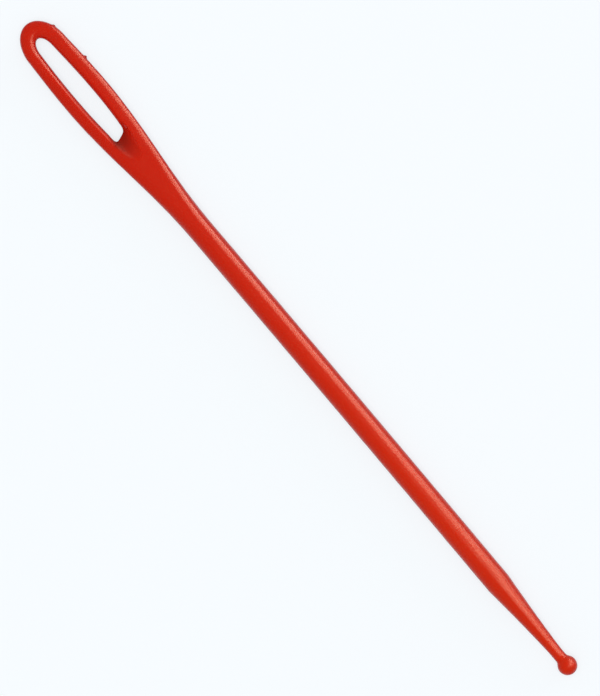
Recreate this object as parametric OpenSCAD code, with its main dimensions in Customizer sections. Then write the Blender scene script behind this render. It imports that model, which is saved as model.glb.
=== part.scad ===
// Yarn needle, moulded in one shot of solid plastic: a long eye in a flattened head, a round
// shank, a taper and a small ball at the tip. All sizes are in millimetres.
// The needle lies along +X, from the bow of the eye to the ball, with the eye open along Z.
// The origin is under the middle of the needle, on the surface that the shank lies on.
// The moulding is cut into its natural regions, which meet face to face.

/* [Needle] */
// Length from the bow of the eye to the end of the ball
needle_len = 150; // [130:1:180]
// Diameter of the round shank
shank_d = 4.5; // [3.5:0.1:6]

/* [Head] */
// Widest part of the head, across both arms
head_w = 8.7; // [7.5:0.1:11]
// Width of the head where the rounded bow meets the arms
bow_w = 8; // [7:0.1:10]
// Thickness of the head along its crown
head_t = 3.3; // [2.5:0.1:4.4]
// Length of the rounded bow
bow_len = 5.8; // [5:0.1:7]
// Distance from the bow's end to the widest part of the head
widest_x = 16.5; // [12:0.5:20]
// Distance from the bow's end to where the flattened head starts to round
round_x = 28; // [26:0.5:36]
// Distance from the bow's end to where the head has become the round shank
blend_x = 48; // [40:1:60]

/* [Eye] */
// Length of the eye
eye_len = 23.2; // [20:0.1:26]
// Thickness of the bow between the eye and the needle's end
bow_bar = 3.3; // [2.4:0.1:4]
// Width of each arm beside the eye
arm_w = 2.7; // [2:0.1:3]
// Length over which the eye's blunt end rounds in
blunt_len = 2.2; // [1.2:0.1:3]
// Rounding of the eye's edges along the arms and at the blunt end
edge_r = 1; // [0.4:0.1:1.2]
// Rounding of the eye's edge in the bow
bow_edge_r = 2.2; // [1:0.1:2.4]

/* [Gutter] */
// Length of the gutter that leads the yarn out of the eye
gutter_len = 4.8; // [3:0.1:8]
// Width of the gutter at the eye
gutter_w = 3.5; // [2:0.1:4]
// Depth of the gutter at the eye
gutter_depth = 1.3; // [0.4:0.05:1.4]

/* [Point] */
// Length of the taper between the shank and the neck
taper_len = 16.2; // [10:0.1:25]
// Length of the straight neck behind the ball
neck_len = 1.4; // [0.5:0.1:3]
// Diameter of the neck
neck_d = 2.17; // [1.6:0.05:2.6]
// Diameter of the ball
ball_d = 3.5; // [3:0.1:3.9]

/* [Hidden] */

// Colour of the plastic
red = "#c62605";

shank_r = shank_d / 2;
neck_r = neck_d / 2;
ball_r = ball_d / 2;

// Places along the needle, measured from the bow's end
eye_end = bow_bar + eye_len;
blunt_x = eye_end - blunt_len;
ball_x = needle_len - ball_r;
neck_end = ball_x - sqrt(ball_r * ball_r - neck_r * neck_r);
neck_x = neck_end - neck_len;
taper_x = neck_x - taper_len;

// The eye's rounded end is an ellipse about the bow's own centre
eye_round = bow_len - bow_bar;
// Squareness of the eye's blunt end, where 2 is an ellipse
blunt_power = 3;
// How much faster the taper narrows at the shank than at the neck
taper_power = 1.3;
// How fast the gutter fades out towards the shank, and towards its sides
fade_power = 1.25;
side_power = 1.5;
// Squareness of the flattened head's section, where 2 is an ellipse
head_power = 2.7;
// The bow's wide rounding has narrowed to that of the arms here
lead_x = 16;

// Steps across an arm, and along each region
across = 12;
bow_steps = 36;
arm_steps = 12;
blunt_steps = 9;
blend_steps = 30;
taper_steps = 14;
// Stations crowd towards the gutter, by this power
crowding = 1.6;
// Anything thinner than this is the needle's own edge
thin = 0.001;
// Facets of the round parts
round_fn = 96;

// Half the head's width at a distance x from the bow's end
function half_width(x) =
    x < bow_len ? bow_w / 2 * sqrt(max(0, 1 - pow(1 - x / bow_len, 2))) :
    x < widest_x ? bow_w / 2 + (head_w - bow_w) / 2 * sin(90 * (x - bow_len) / (widest_x - bow_len)) :
    shank_r + (head_w / 2 - shank_r) * ease(1 - (x - widest_x) / (blend_x - widest_x));

// How far the flattened head has turned into the round shank
function roundness(x) = ease((x - round_x) / (blend_x - round_x));

// Half the head's thickness without its eye, flat on top and turned down at the outline
function dome(x, y) =
    let (power = head_power + (2 - head_power) * roundness(x),
        thick = head_t / 2 + (shank_r - head_t / 2) * roundness(x),
        out = x < bow_len ? norm([1 - x / bow_len, 2 * y / bow_w]) : abs(y) / half_width(x))
    thick * pow(max(0, 1 - pow(out, power)), 1 / power);

// Smooth rise from 0 to 1
function ease(s) = (1 - cos(180 * min(1, max(0, s)))) / 2;

// Half the eye's width between its two ends
function eye_half(x) = half_width(x) - arm_w;

// Distance from a point back to the eye's outline, along the ray from the centre of the eye's end
function beyond(dx, dy, long, wide, power) =
    let (q = pow(pow(abs(dx) / long, power) + pow(abs(dy) / wide, power), 1 / power))
    norm([dx, dy]) * (1 - 1 / max(q, thin));

function eye_gap(x, y) =
    x < bow_len ? beyond(x - bow_len, y, eye_round, eye_half(bow_len), 2) :
    x > blunt_x ? beyond(x - blunt_x, y, blunt_len, eye_half(blunt_x), blunt_power) :
    abs(y) - eye_half(x);

// Radius of the eye's rounded edge
function rim_r(x) = edge_r + (bow_edge_r - edge_r) * ease((lead_x - x) / (lead_x - bow_bar));

// Height left by the rounded edge, as a share, at a distance d from the eye
function edge(x, d) = sqrt(max(0, 1 - pow(1 - min(1, max(0, d / rim_r(x))), 2)));

// Depth of the gutter, as a share of its depth at the eye
function gutter(x, y) =
    let (s = min(1, max(0, x - eye_end) / gutter_len),
        side = min(1, 2 * abs(y) / gutter_w / max(thin, sqrt(1 - s * s))))
    pow(1 - s, fade_power) * pow(1 - side * side, side_power);

// Half the thickness of the needle at any point of the head
function half_height(x, y) =
    max(0, dome(x, y) - gutter_depth * gutter(x, y) * ease(x - blunt_x)) * edge(x, eye_gap(x, y));

// Points across a bar, crowded towards its two edges
function bar(inner, outer) = [for (i = [0:across]) inner + (outer - inner) * ease(i / across)];

// Rows of points in plan, each from the eye's side to the outside
function bow_rows() = [for (j = [0:bow_steps])
    let (a = 180 * j / bow_steps)
    bar([bow_len - eye_round * sin(a), eye_half(bow_len) * cos(a)],
        [bow_len - bow_len * sin(a), bow_w / 2 * cos(a)])];

function arm_rows(side) = [for (j = [0:arm_steps])
    let (x = bow_len + (blunt_x - bow_len) * j / arm_steps)
    bar([x, side * eye_half(x)], [x, side * half_width(x)])];

function blunt_rows(side) = [for (j = [0:blunt_steps - 1])
    let (a = 90 * j / blunt_steps, p = 2 / blunt_power, x = blunt_x + blunt_len * pow(sin(a), p))
    bar([x, side * eye_half(blunt_x) * pow(cos(a), p)], [x, side * half_width(x)])];

function blend_rows(side) = [for (j = [0:blend_steps])
    let (x = eye_end + (blend_x - eye_end) * pow(j / blend_steps, crowding))
    bar([x, 0], [x, side * half_width(x)])];

function throat_rows(side) = concat(blunt_rows(side), blend_rows(side));

// The points of one face of the needle, above or below its middle plane
function lifted(rows, up) = [for (row = rows) for (p = row)
    let (z = half_height(p[0], p[1]))
    [p[0], p[1], z < thin ? 0 : up * z]];

function wound(face, back) = back ? [for (k = [len(face) - 1:-1:0]) face[k]] : face;

// Faces between the upper points and the lower ones, with the first and last rows closed
function skin(rows, first, back) =
    let (m = across + 1, n = len(rows), low = first + m * n, last = first + m * (n - 1))
    concat(
        [for (j = [0:n - 2]) for (i = [0:across - 1])
            let (k = first + j * m + i)
            wound([k, k + 1, k + m + 1, k + m], back)],
        [for (j = [0:n - 2]) for (i = [0:across - 1])
            let (k = low + j * m + i)
            wound([k, k + m, k + m + 1, k + 1], back)],
        [for (i = [0:across - 1]) wound([first + i, low + i, low + i + 1, first + i + 1], back)],
        [for (i = [0:across - 1])
            let (k = last + i, l = k + m * n)
            wound([k, k + 1, l + 1, l], back)]);

// A solid between the needle's upper and lower face, over one set of rows
module bar_solid(rows, back) {
    polyhedron(concat(lifted(rows, 1), lifted(rows, -1)), skin(rows, 0, back));
}

// A solid over two sets of rows that meet along the needle's axis
module joined_solid(right, left) {
    polyhedron(
        concat(lifted(right, 1), lifted(right, -1), lifted(left, 1), lifted(left, -1)),
        concat(skin(right, 0, false), skin(left, 2 * len(right) * (across + 1), true)));
}

// Turns a shape about Z into one about the needle's axis
module along_needle() {
    rotate([0, 90, 0]) children();
}

// Puts a piece measured from the bow's end on the surface, with the origin under its middle
module placed() {
    translate([-needle_len / 2, 0, shank_r]) color(red) children();
}

module eye_bow() {
    placed() bar_solid(bow_rows(), true);
}

module eye_arm_left() {
    placed() bar_solid(arm_rows(-1), true);
}

module eye_arm_right() {
    placed() bar_solid(arm_rows(1), false);
}

module throat() {
    placed() joined_solid(throat_rows(1), throat_rows(-1));
}

module shank() {
    placed() translate([blend_x, 0, 0]) along_needle()
        cylinder(h = taper_x - blend_x, r = shank_r, $fn = round_fn);
}

// The taper narrows faster at the shank, then runs into the straight neck
module point_taper() {
    profile = [for (i = [0:taper_steps])
        let (s = i / taper_steps)
        [neck_r + (shank_r - neck_r) * pow(1 - s, taper_power), taper_len * s]];
    placed() translate([taper_x, 0, 0]) along_needle()
        rotate_extrude($fn = round_fn)
            polygon(concat([[0, 0]], profile, [[neck_r, taper_len + neck_len], [0, taper_len + neck_len]]));
}

// The ball is cut flat where it meets the neck
module ball_tip() {
    placed() difference() {
        translate([ball_x, 0, 0]) sphere(r = ball_r, $fn = round_fn);
        translate([neck_end - ball_d, -ball_r, -ball_r]) cube(ball_d);
    }
}

eye_bow();
eye_arm_left();
eye_arm_right();
throat();
shank();
point_taper();
ball_tip();
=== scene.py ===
# %% [markdown]
# A yarn needle, moulded in one shot of glossy red plastic, seen from straight above.
# The needle is one piece: a bow and two arms round a long eye, a throat where the arms join, a
# round shank, a taper and a small ball. The solids of the frame cut that moulding into regions,
# and this script models it as the single seamless skin that it really is.

# %% Load the frame
import math

import bmesh
import bpy
from mathutils import Matrix, Vector, noise


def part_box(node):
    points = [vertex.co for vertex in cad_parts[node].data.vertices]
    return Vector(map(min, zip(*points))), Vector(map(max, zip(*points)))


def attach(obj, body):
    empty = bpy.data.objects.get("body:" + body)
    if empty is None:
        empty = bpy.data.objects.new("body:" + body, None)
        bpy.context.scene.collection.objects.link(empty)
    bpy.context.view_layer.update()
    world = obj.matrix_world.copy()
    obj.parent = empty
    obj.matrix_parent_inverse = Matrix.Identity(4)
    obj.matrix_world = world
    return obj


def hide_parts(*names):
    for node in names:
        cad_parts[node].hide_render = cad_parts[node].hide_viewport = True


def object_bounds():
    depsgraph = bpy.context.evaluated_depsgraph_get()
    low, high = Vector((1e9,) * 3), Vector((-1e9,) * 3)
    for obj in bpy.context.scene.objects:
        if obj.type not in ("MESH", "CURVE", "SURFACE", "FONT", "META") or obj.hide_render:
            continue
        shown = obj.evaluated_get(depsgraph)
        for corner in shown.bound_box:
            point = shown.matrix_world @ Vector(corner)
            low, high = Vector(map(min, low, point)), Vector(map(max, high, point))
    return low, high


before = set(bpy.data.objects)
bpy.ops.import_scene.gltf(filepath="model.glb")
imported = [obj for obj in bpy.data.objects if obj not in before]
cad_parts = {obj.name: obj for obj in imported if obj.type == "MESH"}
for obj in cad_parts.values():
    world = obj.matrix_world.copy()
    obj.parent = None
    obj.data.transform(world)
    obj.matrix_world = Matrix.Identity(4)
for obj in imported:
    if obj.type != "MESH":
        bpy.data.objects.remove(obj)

cad_low, cad_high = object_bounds()
print("regions of the moulding:", sorted(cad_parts))

# %% [markdown]
# The camera comes first, because everything else is judged through it. The needle keeps its width
# from end to end in the picture, so it was taken from straight above with a long lens. A 200 mm
# lens far above the table does the same, turned about its own axis until the needle lies on the
# diagonal. The scale is set at the height of the needle's axis, where its outline is.

# %% Camera
MM = 0.001
FRAME_PX = (600, 696)
BOW_PX = Vector((26.1, 24.7))
BALL_PX = Vector((573.8, 673.0))
LENS_MM = 200
SENSOR_MM = 36

needle_len = cad_high.x - cad_low.x
along_px = BALL_PX - BOW_PX
metres_per_px = needle_len / along_px.length
roll = math.atan2(along_px.y, along_px.x)
off_px = Vector(FRAME_PX) / 2 - (BOW_PX + BALL_PX) / 2
off = Vector((off_px.x, -off_px.y)) * metres_per_px
distance = metres_per_px * max(FRAME_PX) * LENS_MM / SENSOR_MM
needle_axis_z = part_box("shank")[1].z / 2

camera = bpy.data.objects.new("camera", bpy.data.cameras.new("camera"))
bpy.context.scene.collection.objects.link(camera)
camera.data.lens = LENS_MM
camera.data.sensor_width = SENSOR_MM
camera.rotation_euler = (0, 0, roll)
camera.location = (
    (cad_low.x + cad_high.x) / 2 + off.x * math.cos(roll) - off.y * math.sin(roll),
    off.x * math.sin(roll) + off.y * math.cos(roll),
    needle_axis_z + distance,
)
bpy.context.scene.camera = camera
print(f"camera {distance:.3f} m up, turned {math.degrees(roll):.2f} degrees")
print(f"a pixel is {metres_per_px / MM:.4f} mm at the needle's axis")


# %% [markdown]
# Sizes come from the solids wherever their boxes tell them, so that the skin follows the solids.
# They are kept in millimetres, measured from the bow's end along the needle's own axis, because
# that is how a needle is drawn.

# %% Sizes read from the solids
def span(node):
    low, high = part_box(node)
    return (low.x - cad_low.x) / MM, (high.x - cad_low.x) / MM, low.y / MM, high.y / MM


length = needle_len / MM
_, bow_len, _, bow_half = span("eye_bow")
_, blunt_x, eye_half_min, head_half = span("eye_arm_right")
blend_x, taper_x, _, shank_r = span("shank")
_, neck_end, _, _ = span("point_taper")
_, _, _, ball_r = span("ball_tip")
arm_w = bow_half - eye_half_min
ball_x = length - ball_r
neck_r = math.sqrt(ball_r**2 - (ball_x - neck_end) ** 2)
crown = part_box("eye_arm_right")[1].z / MM - shank_r
print(f"length {length:.1f}, shank {2 * shank_r:.2f}, arm {arm_w:.2f}, head {2 * crown:.2f} thick")
print(f"ball {2 * ball_r:.2f}, neck {2 * neck_r:.2f}")

# %% [markdown]
# A box doesn't tell where the eye starts and ends, where the head is widest or starts to round,
# or how its edges are rounded. Those sizes are written here. A power of 2 makes an ellipse, and a
# higher one a squarer curve.

# %% Sizes that a box doesn't tell
bow_bar = 3.3
eye_end = 26.5
blunt_power = 4
widest_x = 16.5
round_x = 28
head_power = 2.7
edge_r = 1.0
bow_edge_r = 2.2
lead_x = 16
print(f"eye {eye_end - bow_bar:.1f} long, bow {bow_bar} thick")
print(f"edges rounded by {edge_r} to {bow_edge_r}")


# %% [markdown]
# The head is a flattened dome. Its outline is round at the bow, widens to the middle of the eye
# and then draws in to the shank, and its crown thickens to the shank's own radius. It could be
# sculpted, but each of these is a short formula, which stays exact when a size changes.

# %% Outline and dome of the head
def ease(s):
    return (1 - math.cos(math.pi * min(1, max(0, s)))) / 2


def arc(s):
    return math.sqrt(max(0, 1 - s * s))


def half_width(x):
    if x < bow_len:
        return bow_half * arc(1 - x / bow_len)
    if x < widest_x:
        rise = math.sin(math.pi / 2 * (x - bow_len) / (widest_x - bow_len))
        return bow_half + (head_half - bow_half) * rise
    return shank_r + (head_half - shank_r) * ease(1 - (x - widest_x) / (blend_x - widest_x))


def outwards(x, y):
    if x < bow_len:
        return math.hypot(1 - x / bow_len, y / bow_half)
    return abs(y) / half_width(x)


def roundness(x):
    return ease((x - round_x) / (blend_x - round_x))


def dome(x, y):
    power = head_power + (2 - head_power) * roundness(x)
    thick = crown + (shank_r - crown) * roundness(x)
    return thick * max(0, 1 - outwards(x, y) ** power) ** (1 / power)


print(f"head {2 * half_width(widest_x):.2f} wide at {widest_x}")
print(f"head {2 * dome(round_x, 0):.2f} thick at {round_x}")


# %% [markdown]
# The eye is a slot through the dome, with a round end in the bow and a blunt one at the throat.
# Its edges are rounded so that yarn isn't cut. A boolean and a bevel could do that, but they leave
# a ragged mesh where the slot meets the dome. So the distance from the eye is worked out instead,
# and the height falls to nothing over the rounding.

# %% Eye and its rounded edge
TINY = 1e-6


def rim_radius(x):
    return edge_r + (bow_edge_r - edge_r) * ease((lead_x - x) / (lead_x - bow_bar))


def eye_half(x):
    return half_width(min(max(x, bow_len), blunt_x)) - arm_w


def beyond(dx, dy, long, wide, power):
    q = (abs(dx / long) ** power + abs(dy / wide) ** power) ** (1 / power)
    return math.hypot(dx, dy) * (1 - 1 / max(q, TINY))


def eye_gap(x, y):
    if x < bow_len:
        return beyond(x - bow_len, y, bow_len - bow_bar, eye_half(bow_len), 2)
    if x > blunt_x:
        return beyond(x - blunt_x, y, eye_end - blunt_x, eye_half(blunt_x), blunt_power)
    return abs(y) - eye_half(x)


print(f"eye {2 * eye_half(widest_x):.2f} wide at its widest, {2 * eye_half(blunt_x):.2f} at the throat")

# %% [markdown]
# Behind the eye a gutter is sunk into both faces, so that the yarn can lie back along the shank.
# It is deepest at the eye, as wide as the eye there, with a flat floor, and it runs out to nothing
# in a round end. It stands a little to one side, as the eye does.

# %% Gutter and height
gutter_len = 4.8
gutter_half = 1.75
gutter_depth = 1.35
GUTTER_SHIFT = 0.3
GUTTER_FADE = 1.25
GUTTER_SQUARE = 4


def along_gutter(x):
    return min(1, max(0, (x - eye_end) / gutter_len))


def behind_eye(x):
    return ease((x - blunt_x) / (eye_end - blunt_x))


def gutter(x, y):
    s = along_gutter(x)
    half = gutter_half * math.sqrt(1 - s * s)
    side = min(1, abs(y - GUTTER_SHIFT * (1 - s)) / max(half, TINY))
    return (1 - s) ** GUTTER_FADE * (1 - side**GUTTER_SQUARE) * behind_eye(x)


def height(x, y):
    rim = arc(1 - min(1, max(0, eye_gap(x, y) / rim_radius(x))))
    return max(0, dome(x, y) - gutter_depth * gutter(x, y)) * rim


print(f"gutter {gutter_depth * gutter(eye_end, 0):.2f} deep at the eye, {gutter_len} long")

# %% [markdown]
# A flat sheet of quads is laid over one side of the head. Its rows walk from the bow's tip along
# the arm, round the eye's blunt end and down the axis to the shank, so that edges follow the eye
# and the outline everywhere. Each row is a line across the bar, from the eye to the outside.

# %% Rows of the sheet
RIM_STEPS = 8
FLANK_STEPS = 17
COLUMNS = RIM_STEPS + FLANK_STEPS
BOW_ROWS = 40
ARM_ROWS = 90
BLUNT_ROWS = 14
WEB_ROWS = 8
GUTTER_ROWS = 26
BLEND_ROWS = 40


def head_rows():
    for k in range(BOW_ROWS):
        a = math.pi / 2 * (1 - k / BOW_ROWS)
        inner = (bow_len - (bow_len - bow_bar) * math.sin(a), eye_half(bow_len) * math.cos(a))
        yield inner, (bow_len - bow_len * math.sin(a), bow_half * math.cos(a)), 0
    for k in range(ARM_ROWS):
        x = bow_len + (blunt_x - bow_len) * k / ARM_ROWS
        yield (x, eye_half(x)), (x, half_width(x)), 0
    for k in range(BLUNT_ROWS):
        a = math.pi / 2 * k / BLUNT_ROWS
        x = blunt_x + (eye_end - blunt_x) * math.sin(a) ** (2 / blunt_power)
        yield (x, eye_half(blunt_x) * math.cos(a) ** (2 / blunt_power)), (x, half_width(x)), 0
    for k in range(WEB_ROWS):
        x = eye_end + edge_r * (1 - math.cos(math.pi / 2 * k / WEB_ROWS))
        yield (x, 0), (x, half_width(x)), ease(along_gutter(x))
    for k in range(GUTTER_ROWS):
        x = eye_end + edge_r + (gutter_len - edge_r) * k / GUTTER_ROWS
        yield (x, 0), (x, half_width(x)), ease(along_gutter(x))
    for k in range(BLEND_ROWS + 1):
        x = eye_end + gutter_len + (blend_x - eye_end - gutter_len) * k / BLEND_ROWS
        yield (x, 0), (x, half_width(x)), 1


rows = list(head_rows())
print(f"{len(rows)} rows, from {rows[0][1][0]:.1f} to {rows[-1][1][0]:.1f} along the needle")


# %% [markdown]
# Columns crowd where the surface turns, which is at both edges of the bar, because a smooth edge
# needs its faces there. They fan out evenly by the time they meet the round shank, so that the
# head's last row has the very points of the shank's first ring.

# %% Columns of the sheet
def across(column, bar, rim, evenness):
    if column <= RIM_STEPS:
        narrow = rim * (1 - math.cos(math.pi / 2 * column / RIM_STEPS))
    else:
        turn = math.sin(math.pi / 2 * (column - RIM_STEPS) / FLANK_STEPS)
        narrow = rim + (bar - rim) * turn
    even = bar * math.sin(math.pi / 2 * column / COLUMNS)
    return narrow + (even - narrow) * evenness


def plan_point(row, column):
    inner, outer, evenness = row
    bar = math.dist(inner, outer)
    share = across(column, bar, rim_radius(inner[0]), evenness) / bar
    return Vector((*inner, 0)).lerp(Vector((*outer, 0)), share)


middle = plan_point(rows[len(rows) // 2], RIM_STEPS)
print(f"the edge's rounding ends at {middle.x:.2f}, {middle.y:.2f} on the middle row")

# %% [markdown]
# The sheet itself is one of Blender's grids. Its points are moved to their places in plan, the
# sheet is mirrored to the other side, lifted to its height, and mirrored again for the underside.
# Mirroring after the lift keeps both faces alike. The points along the outline and the eye stay
# at exactly no height, so that the two faces weld there, and all others keep a little.

# %% Lay, mirror and lift the sheet
WELD = 1e-5
THIN = 0.001
eye_rows = BOW_ROWS + ARM_ROWS + BLUNT_ROWS


def mirrored(axis):
    everything = mould.verts[:] + mould.edges[:] + mould.faces[:]
    bmesh.ops.mirror(mould, geom=everything, merge_dist=WELD, axis=axis)


mould = bmesh.new()
at_edge = mould.verts.layers.int.new("at_edge")
bmesh.ops.create_grid(mould, x_segments=len(rows) - 1, y_segments=COLUMNS, size=1)
for v in mould.verts:
    row = round((v.co.x + 1) / 2 * (len(rows) - 1))
    column = round((v.co.y + 1) / 2 * COLUMNS)
    v.co = plan_point(rows[row], column)
    v[at_edge] = int(column == COLUMNS or (column == 0 and row <= eye_rows))
mirrored("Y")
for v in mould.verts:
    v.co.z = 0 if v[at_edge] else max(THIN, height(v.co.x, v.co.y))
mirrored("Z")
mould.verts.layers.int.remove(at_edge)
print(f"head: {len(rows)} rows of {COLUMNS} columns, {len(mould.faces)} faces after both mirrors")

# %% [markdown]
# The shank, the taper and the ball are round, so their profile is drawn once. The taper drops
# faster near the shank than near the neck. Where the neck meets the ball, the two radii are joined
# with a smooth maximum, which leaves the fillet that a mould has.

# %% Profile of the rod
neck_x = neck_end - 1.4
taper_power = 1.3
fillet = 0.24


def rod_radius(x):
    if x <= taper_x:
        return shank_r
    s = min(1, (x - taper_x) / (neck_x - taper_x))
    taper = neck_r + (shank_r - neck_r) * (1 - s) ** taper_power
    taper *= arc(max(0, x - neck_end) / ball_r)
    ball = ball_r * arc(min(1, abs(x - ball_x) / ball_r))
    if ball == 0:
        return taper if x < ball_x else 0
    softness = fillet * (1 - ease((x - neck_end) / ball_r))
    return (taper + ball + math.hypot(taper - ball, softness)) / 2


print(f"radius {rod_radius(taper_x):.2f} at the shank, {rod_radius(neck_end):.2f} where the ball starts")

# %% [markdown]
# The profile becomes a chain of points and edges, which is spun once round the axis. The spin has
# as many steps as the head's last row has points, so the two pieces weld into one skin with no
# seam. An edge that is open or shared by three faces would be a fault, and is counted.

# %% Spin the rod and weld it to the head
SHANK_STEP = 1.6
TAPER_STEP = 0.5
BALL_STEPS = 26
SEAM_WELD = 2e-4


def stretch(start, end, step):
    count = max(1, round((end - start) / step))
    return [start + (end - start) * k / count for k in range(count)]


ball_xs = [ball_x - ball_r * math.cos(math.pi * k / BALL_STEPS) for k in range(BALL_STEPS + 1)]
rod_xs = stretch(blend_x, taper_x, SHANK_STEP) + stretch(taper_x, ball_xs[0], TAPER_STEP) + ball_xs
chain = [mould.verts.new((x, 0, rod_radius(x))) for x in rod_xs]
links = [mould.edges.new(pair) for pair in zip(chain, chain[1:])]
bmesh.ops.spin(
    mould, geom=chain + links, axis=(1, 0, 0), cent=(0, 0, 0),
    angle=2 * math.pi, steps=4 * COLUMNS, use_merge=True,
)
bmesh.ops.remove_doubles(mould, verts=mould.verts, dist=SEAM_WELD)
bmesh.ops.recalc_face_normals(mould, faces=mould.faces)
open_edges = sum(not e.is_manifold for e in mould.edges)
print(f"moulding: {len(mould.faces)} faces, {open_edges} open edges")

# %% [markdown]
# A real moulding isn't perfect. The core that makes the eye stood a little to one side and askew,
# so one arm is wider than the other and the eye's blunt end is slanted. Points are slid sideways
# and lengthwise near the eye, and not at all at the outline, so the silhouette stays true.

# %% The core stood askew
EYE_SHIFT = -0.17
END_SLANT = math.tan(math.radians(20))
SLANT_PIVOT = -1.5
SLANT_FADE = 7
slant_start = blunt_x - 1.2
slant_full = eye_end - 0.8


def skewed(x, y):
    fade = ease((eye_end + SLANT_FADE - x) / SLANT_FADE)
    onset = ease((x - slant_start) / (slant_full - slant_start))
    slant = onset * fade * ease((half_width(x) - abs(y)) / arm_w)
    shift = EYE_SHIFT * max(0, 1 - outwards(x, y) ** 2) * fade
    return x - END_SLANT * (y - SLANT_PIVOT) * slant, y + shift


print(f"the middle of the eye's end moved from {eye_end} to {skewed(eye_end, 0)[0]:.2f}")

# %% [markdown]
# The two mould halves leave a fine raised parting line along the outline, with two nibs of flash
# on one arm. A bump in the material would be lost in the outline, where such a line shows most,
# so the points on the line are pushed outwards.

# %% Parting line and nibs
PARTING_RIDGE = 0.03
RIDGE_LEAST = 0.7
RIDGE_WANDER = 0.6
RIDGE_RHYTHM = 0.8
NIBS = ((3.3, 0.2, 0.28), (11.1, 0.32, 0.28))


def flash(point, normal):
    ridge = PARTING_RIDGE * (RIDGE_LEAST + RIDGE_WANDER * noise.noise(point * RIDGE_RHYTHM))
    nib = 0
    if point.y > 0:
        for x, size, width in NIBS:
            nib += size * math.exp(-(((point.x - x) / width) ** 2))
    return Vector((normal.x, normal.y, 0)) * (ridge + nib)


def on_parting_line(point):
    outside = point.x > eye_end or eye_gap(point.x, point.y) > rim_radius(point.x)
    return abs(point.z) < WELD and outside


print(f"parting points on the moulding: {sum(on_parting_line(v.co) for v in mould.verts)}")

# %% [markdown]
# Where the core touched, the plastic has a duller skin. In the gutter, shade is painted into the colour
# as a deeper red, and the skin there is made duller as well. Both are kept as numbers on the points,
# which the material reads. That follows the shape better than any pattern in space could.

# %% Marks of the core, and the gutter's painted shade
SHADE_SHIFT = -0.2
SHADE_WIDTH = 1.12
SHADE_DRAW_IN = 0.4
SHADE_FADE = 1.1
SHADE_SQUARE = 3
WEB_SHADE = 0.6
CORE_SPREAD = 1.6
CORE_START = 10
CORE_FULL = 18
CORE_RUN_OUT = 2


# Painted shade for the gutter: deepest at the eye's end, weaker on the web's rim. The same mark also
# dulls the gloss there.
def gutter_shade(point):
    s = along_gutter(point.x)
    half = gutter_half * (SHADE_WIDTH - SHADE_DRAW_IN * s)
    side = min(1, abs(point.y - SHADE_SHIFT) / half)
    deep = (1 - s) ** SHADE_FADE * (1 - side**SHADE_SQUARE) * behind_eye(point.x)
    return deep if point.z else WEB_SHADE * deep


def core_skin(point):
    near = ease(CORE_SPREAD * (1 - eye_gap(point.x, point.y) / rim_radius(point.x)))
    lead = ease((point.x - CORE_START) / (CORE_FULL - CORE_START))
    return near * lead * ease((eye_end - point.x) / CORE_RUN_OUT)


painted_shade_and_dull = mould.verts.layers.float.new("painted_shade_and_dull")
core = mould.verts.layers.float.new("core")
for v in mould.verts:
    v[painted_shade_and_dull] = gutter_shade(v.co)
    v[core] = core_skin(v.co)
print("points in the gutter:", sum(v[painted_shade_and_dull] > 0 for v in mould.verts))
print("points with the core's skin:", sum(v[core] > 0 for v in mould.verts))

# %% [markdown]
# Cooling plastic shrinks unevenly and bends by a hair. The new places of all points are worked out
# before any point moves, because the formulas read the true shape.

# %% Skew, shrink and bend the moulding
SHRINK = 0.025
SHRINK_RHYTHM = 0.35
BEND = 0.2


def cooled(v):
    x, y = skewed(v.co.x, v.co.y)
    place = Vector((x, y, v.co.z))
    place -= v.normal * SHRINK * (0.5 + 0.5 * noise.noise(v.co * SHRINK_RHYTHM))
    if on_parting_line(v.co):
        place += flash(v.co, v.normal)
    place.y += BEND * math.sin(math.pi * v.co.x / length)
    return place


mould.normal_update()
moves = [(v, cooled(v)) for v in mould.verts]
for v, place in moves:
    v.co = place
print(f"{len(moves)} points moved, bent by {BEND} in the middle")

# %% [markdown]
# So far the needle is in millimetres about its own axis. It is scaled to metres and moved into the
# frame, so that its object can stay at the origin, unturned and unscaled.

# %% Put it in place
bmesh.ops.scale(mould, vec=(MM, MM, MM), verts=mould.verts)
bmesh.ops.translate(mould, vec=(cad_low.x, 0, shank_r * MM), verts=mould.verts)
for face in mould.faces:
    face.smooth = True
mesh = bpy.data.meshes.new("yarn_needle")
mould.to_mesh(mesh)
mould.free()
needle = bpy.data.objects.new("yarn_needle", mesh)
bpy.context.scene.collection.objects.link(needle)
print("needle in mm:", [round(side / MM, 2) for side in needle.dimensions])


# %% [markdown]
# A material is a tree of nodes. Its arithmetic is easier to read as ordinary sums, so a small
# class wraps one output and adds a Math node for each plus, minus and times.

# %% Arithmetic on wires
class Wire:
    def __init__(self, tree, socket):
        self.tree = tree
        self.socket = socket

    def combine(self, operation, first, second, clamp=False):
        node = self.tree.nodes.new("ShaderNodeMath")
        node.operation = operation
        node.use_clamp = clamp
        connect(self.tree, node.inputs[0], first)
        connect(self.tree, node.inputs[1], second)
        return Wire(self.tree, node.outputs[0])

    def __add__(self, other):
        return self.combine("ADD", self, other)

    def __radd__(self, other):
        return self.combine("ADD", other, self)

    def __sub__(self, other):
        return self.combine("SUBTRACT", self, other)

    def __rsub__(self, other):
        return self.combine("SUBTRACT", other, self)

    def __mul__(self, other):
        return self.combine("MULTIPLY", self, other)

    def __rmul__(self, other):
        return self.combine("MULTIPLY", other, self)

    def clamped(self):
        return self.combine("ADD", self, 0, clamp=True)


def connect(tree, socket, value):
    if isinstance(value, Wire):
        tree.links.new(value.socket, socket)
    else:
        socket.default_value = value


print("sums are made with the class", Wire.__name__)


# %% [markdown]
# Every other node is made by one method, which takes its type, the output that is wanted, its
# settings and its sockets. The same class serves materials and the world, because both own a tree.

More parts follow.
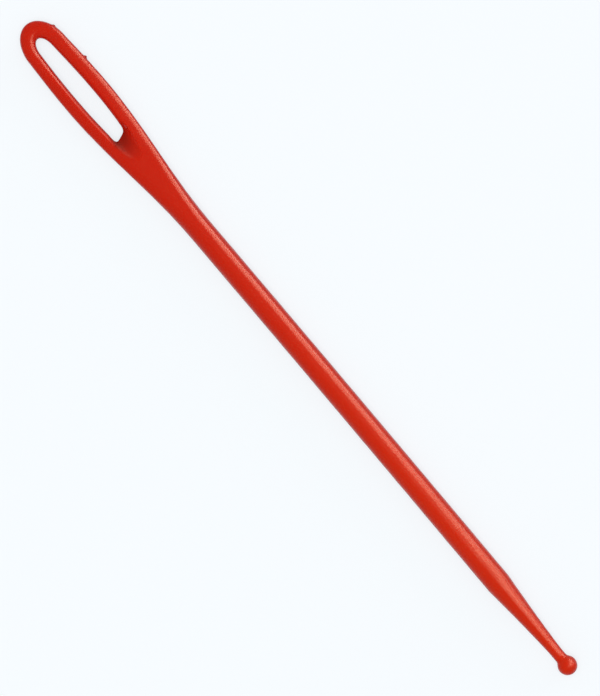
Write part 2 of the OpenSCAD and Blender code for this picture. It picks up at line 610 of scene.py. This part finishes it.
# %% Node trees
class Recipe:
    def __init__(self, owner):
        owner.use_nodes = True
        self.tree = owner.node_tree

    def node(self, kind, output, settings, sockets):
        node = self.tree.nodes.new(kind)
        for name, value in settings.items():
            setattr(node, name, value)
        for name, value in sockets.items():
            connect(self.tree, node.inputs[name], value)
        return Wire(self.tree, node.outputs[output])

    def mix(self, share, first, second):
        return self.node("ShaderNodeMix", 2, {"data_type": "RGBA"}, {0: share, 6: first, 7: second})

    def mark(self, name):
        return self.node("ShaderNodeAttribute", "Fac", {"attribute_name": name}, {})

    def rays(self, kind):
        return self.node("ShaderNodeLightPath", f"Is {kind} Ray", {}, {})

    def feed(self, node, sockets):
        for name, value in sockets.items():
            connect(self.tree, self.tree.nodes[node].inputs[name], value)


print("materials and world are made with the class", Recipe.__name__)


# %% [markdown]
# The plastic is an opaque, glossy red. Its pigment flowed along the needle, so its faint streaks run
# lengthwise. The red is also made a touch brighter and more orange towards the tip. The streaks and
# clouds are noise in the object's own space, stretched along X, which needs no image and no unwrapping.

# %% Colour of the red plastic
RED_AT_BOW = (0.568, 0.0075, 0.0003, 1)
RED_AT_TIP = (0.624, 0.0155, 0.0006, 1)
RED_STREAK = (0.560, 0.0110, 0.0007, 1)
# Painted shade: the deep red that darkens the gutter.
RED_PAINTED_GUTTER_SHADE = (0.290, 0.0035, 0.0004, 1)
STREAK_SHAPE = (60, 900, 900)
TIP_TONE_START = 0.045
TIP_TONE_SLOPE = 12
TONE_LEAST = 0.3
TONE_SLOPE = 1.2
TONE_SHARE = 0.25
PAINTED_SHADE_GAIN = 1.3

red_plastic = bpy.data.materials.new("red_plastic")
red = Recipe(red_plastic)
spot = red.node("ShaderNodeTexCoord", "Object", {}, {})
along = red.node("ShaderNodeSeparateXYZ", "X", {}, {"Vector": spot})
stretched = red.node(
    "ShaderNodeVectorMath", "Vector", {"operation": "MULTIPLY"}, {0: spot, 1: STREAK_SHAPE}
)
streaks = red.node(
    "ShaderNodeTexNoise", 0, {}, {"Vector": stretched, "Scale": 1.0, "Detail": 4.0, "Roughness": 0.6}
)
clouds = red.node(
    "ShaderNodeTexNoise", 0, {}, {"Vector": spot, "Scale": 160.0, "Detail": 3.0, "Roughness": 0.5}
)
towards_tip = ((along + TIP_TONE_START) * TIP_TONE_SLOPE).clamped()
body = red.mix(towards_tip, RED_AT_BOW, RED_AT_TIP)
tone = ((streaks * 0.6 + clouds * 0.4 - TONE_LEAST) * TONE_SLOPE).clamped()
streaked = red.mix(tone * TONE_SHARE, body, RED_STREAK)
# The gutter's shade is painted into the colour here, and the same mark dulls its gloss below.
shade_and_dull_mark = red.mark("painted_shade_and_dull")
colour = red.mix((shade_and_dull_mark * PAINTED_SHADE_GAIN).clamped(), streaked, RED_PAINTED_GUTTER_SHADE)
print(f"colour of the plastic: {len(red.tree.nodes)} nodes")

# %% [markdown]
# The gloss is the mould's polish. It is duller where the core touched, in the gutter and on the
# ball, and a fine orange peel makes the highlight waver. The pigment tints the highlight, so white
# lamps look pink in it. A little light goes into red plastic and comes out beside where it went
# in, which softens its edges, so some subsurface is mixed in.

# %% Gloss of the red plastic
POLISH = 0.19
WAVER = 0.04
DULL_GUTTER = 0.5
DULL_CORE = 0.32
DULL_BALL = 0.1
BALL_START = 0.0705

polish = clouds * WAVER + streaks * WAVER + POLISH
at_gutter = (shade_and_dull_mark * 3).clamped()
at_ball = ((along - BALL_START) * 900).clamped()
dullness = at_gutter * DULL_GUTTER + red.mark("core") * DULL_CORE + at_ball * DULL_BALL
peel = red.node("ShaderNodeTexNoise", 0, {}, {"Vector": spot, "Scale": 300.0, "Detail": 0.0})
bump = red.node(
    "ShaderNodeBump", "Normal", {}, {"Height": peel, "Strength": 0.1, "Distance": 0.0004}
)
red.feed(
    "Principled BSDF",
    {
        "Base Color": colour,
        "Roughness": polish + dullness,
        "Normal": bump,
        "Specular IOR Level": 0.32,
        "Specular Tint": (0.8, 0.53, 0.32, 1),
        "Subsurface Weight": 0.25,
        "Subsurface Radius": (1.0, 0.15, 0.05),
        "Subsurface Scale": 0.0012,
    },
)
needle.data.materials.append(red_plastic)
print(f"red plastic: {len(red.tree.nodes)} nodes")


# %% [markdown]
# The needle lies on a white table. A table that is merely painted white needs so much light that
# the red would burn out. So most of its white is a glow that only the camera sees, and what
# mirrors or looks through, by Light Path. The rest is paint that the lamps light, which keeps the
# needle's soft shadow. The glow isn't sampled as a lamp, because it lights nothing.

# %% Table
WHITE = (0.93, 0.965, 0.991, 1)
BLACK = (0, 0, 0, 1)


def shown(recipe):
    seen = recipe.rays("Camera") + recipe.rays("Glossy") + recipe.rays("Transmission")
    return seen.clamped()


bpy.ops.mesh.primitive_plane_add(size=4)
table = bpy.context.object
table.name = "table"
opal_white = bpy.data.materials.new("opal_white")
opal = Recipe(opal_white)
opal.feed(
    "Principled BSDF",
    {
        "Base Color": (0.24, 0.249, 0.255, 1),
        "Roughness": 0.9,
        "Specular IOR Level": 0.0,
        "Emission Color": opal.mix(shown(opal), BLACK, WHITE),
        "Emission Strength": 0.75,
    },
)
opal_white.cycles.emission_sampling = "NONE"
table.data.materials.append(opal_white)
print(f"table {table.dimensions.x:.0f} m wide")


# %% [markdown]
# Each lamp is a rectangle that is aimed at a point of the needle, with its long side along the
# needle where that matters. Its brightness is given per area, so that a lamp keeps its look in a
# highlight when its size changes. A lamp serves either the colour or the gloss, as a photographer
# would use a soft box and a strip.

# %% A lamp
def lamp(name, place, target, size, radiance, use, along=(1, 0, 0), tint=(1, 1, 1)):
    light = bpy.data.lights.new(name, "AREA")
    light.shape = "RECTANGLE"
    light.size, light.size_y = size
    light.energy = radiance * math.pi * size[0] * size[1]
    light.color = tint
    thing = bpy.data.objects.new(name, light)
    bpy.context.scene.collection.objects.link(thing)
    back = (Vector(place) - Vector(target)).normalized()
    side = Vector(along)
    side = (side - back * side.dot(back)).normalized()
    turn = Matrix((side, back.cross(side), back)).transposed().to_4x4()
    thing.matrix_world = Matrix.Translation(place) @ turn
    thing.visible_camera = False
    thing.visible_glossy = use == "gloss"
    thing.visible_diffuse = use == "colour"
    print(f"{name}: {light.energy:.2f} W for the {use}")


# %% [markdown]
# A soft lamp overhead gives the colour, and a low one reddens the flank on the far side. The gloss
# comes from three strips on that side, a little cool. A long one makes the highlight that runs
# along the needle, a smaller one carries it on over the taper and the ball, and a low and weaker
# one pales the flank below it.

# %% Lamps
COOL = (0.85, 0.9, 1.0)

lamp("overhead", (0, -0.06, 1.0), (0, 0, 0), (0.6, 0.6), 4.8, "colour")
lamp("fill", (0, 0.9, 0.18), (0, 0, 0), (0.6, 0.4), 2.4, "colour")
lamp(
    "strip", (0.04, 0.409, 0.282), (0.03, 0, 0), (0.6, 0.29), 9.0, "gloss",
    along=(0.771, -0.338, 0.540), tint=COOL,
)
lamp("tip_strip", (0.17, 0.15, 0.47), (0.075, 0, 0), (0.16, 0.30), 6.5, "gloss", tint=COOL)
lamp("flank_strip", (0, 0.45, 0.085), (0, 0, 0), (0.6, 0.14), 5.0, "gloss", tint=COOL)

# %% [markdown]
# The room gives a plain, even light at half of white, which keeps the needle's flanks from going
# dark. The camera sees it in full white, and so does the gloss, as it does the table.

# %% Room
ROOM_LIGHT = 0.5

room = bpy.data.worlds.new("room")
bpy.context.scene.world = room
air = Recipe(room)
air.feed("Background", {"Color": WHITE, "Strength": shown(air) * (1 - ROOM_LIGHT) + ROOM_LIGHT})
bpy.context.scene.view_settings.view_transform = "Standard"
print(f"room lit at {ROOM_LIGHT} of white")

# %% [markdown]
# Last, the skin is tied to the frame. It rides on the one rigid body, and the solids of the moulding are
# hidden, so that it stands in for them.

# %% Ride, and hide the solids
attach(needle, "root")
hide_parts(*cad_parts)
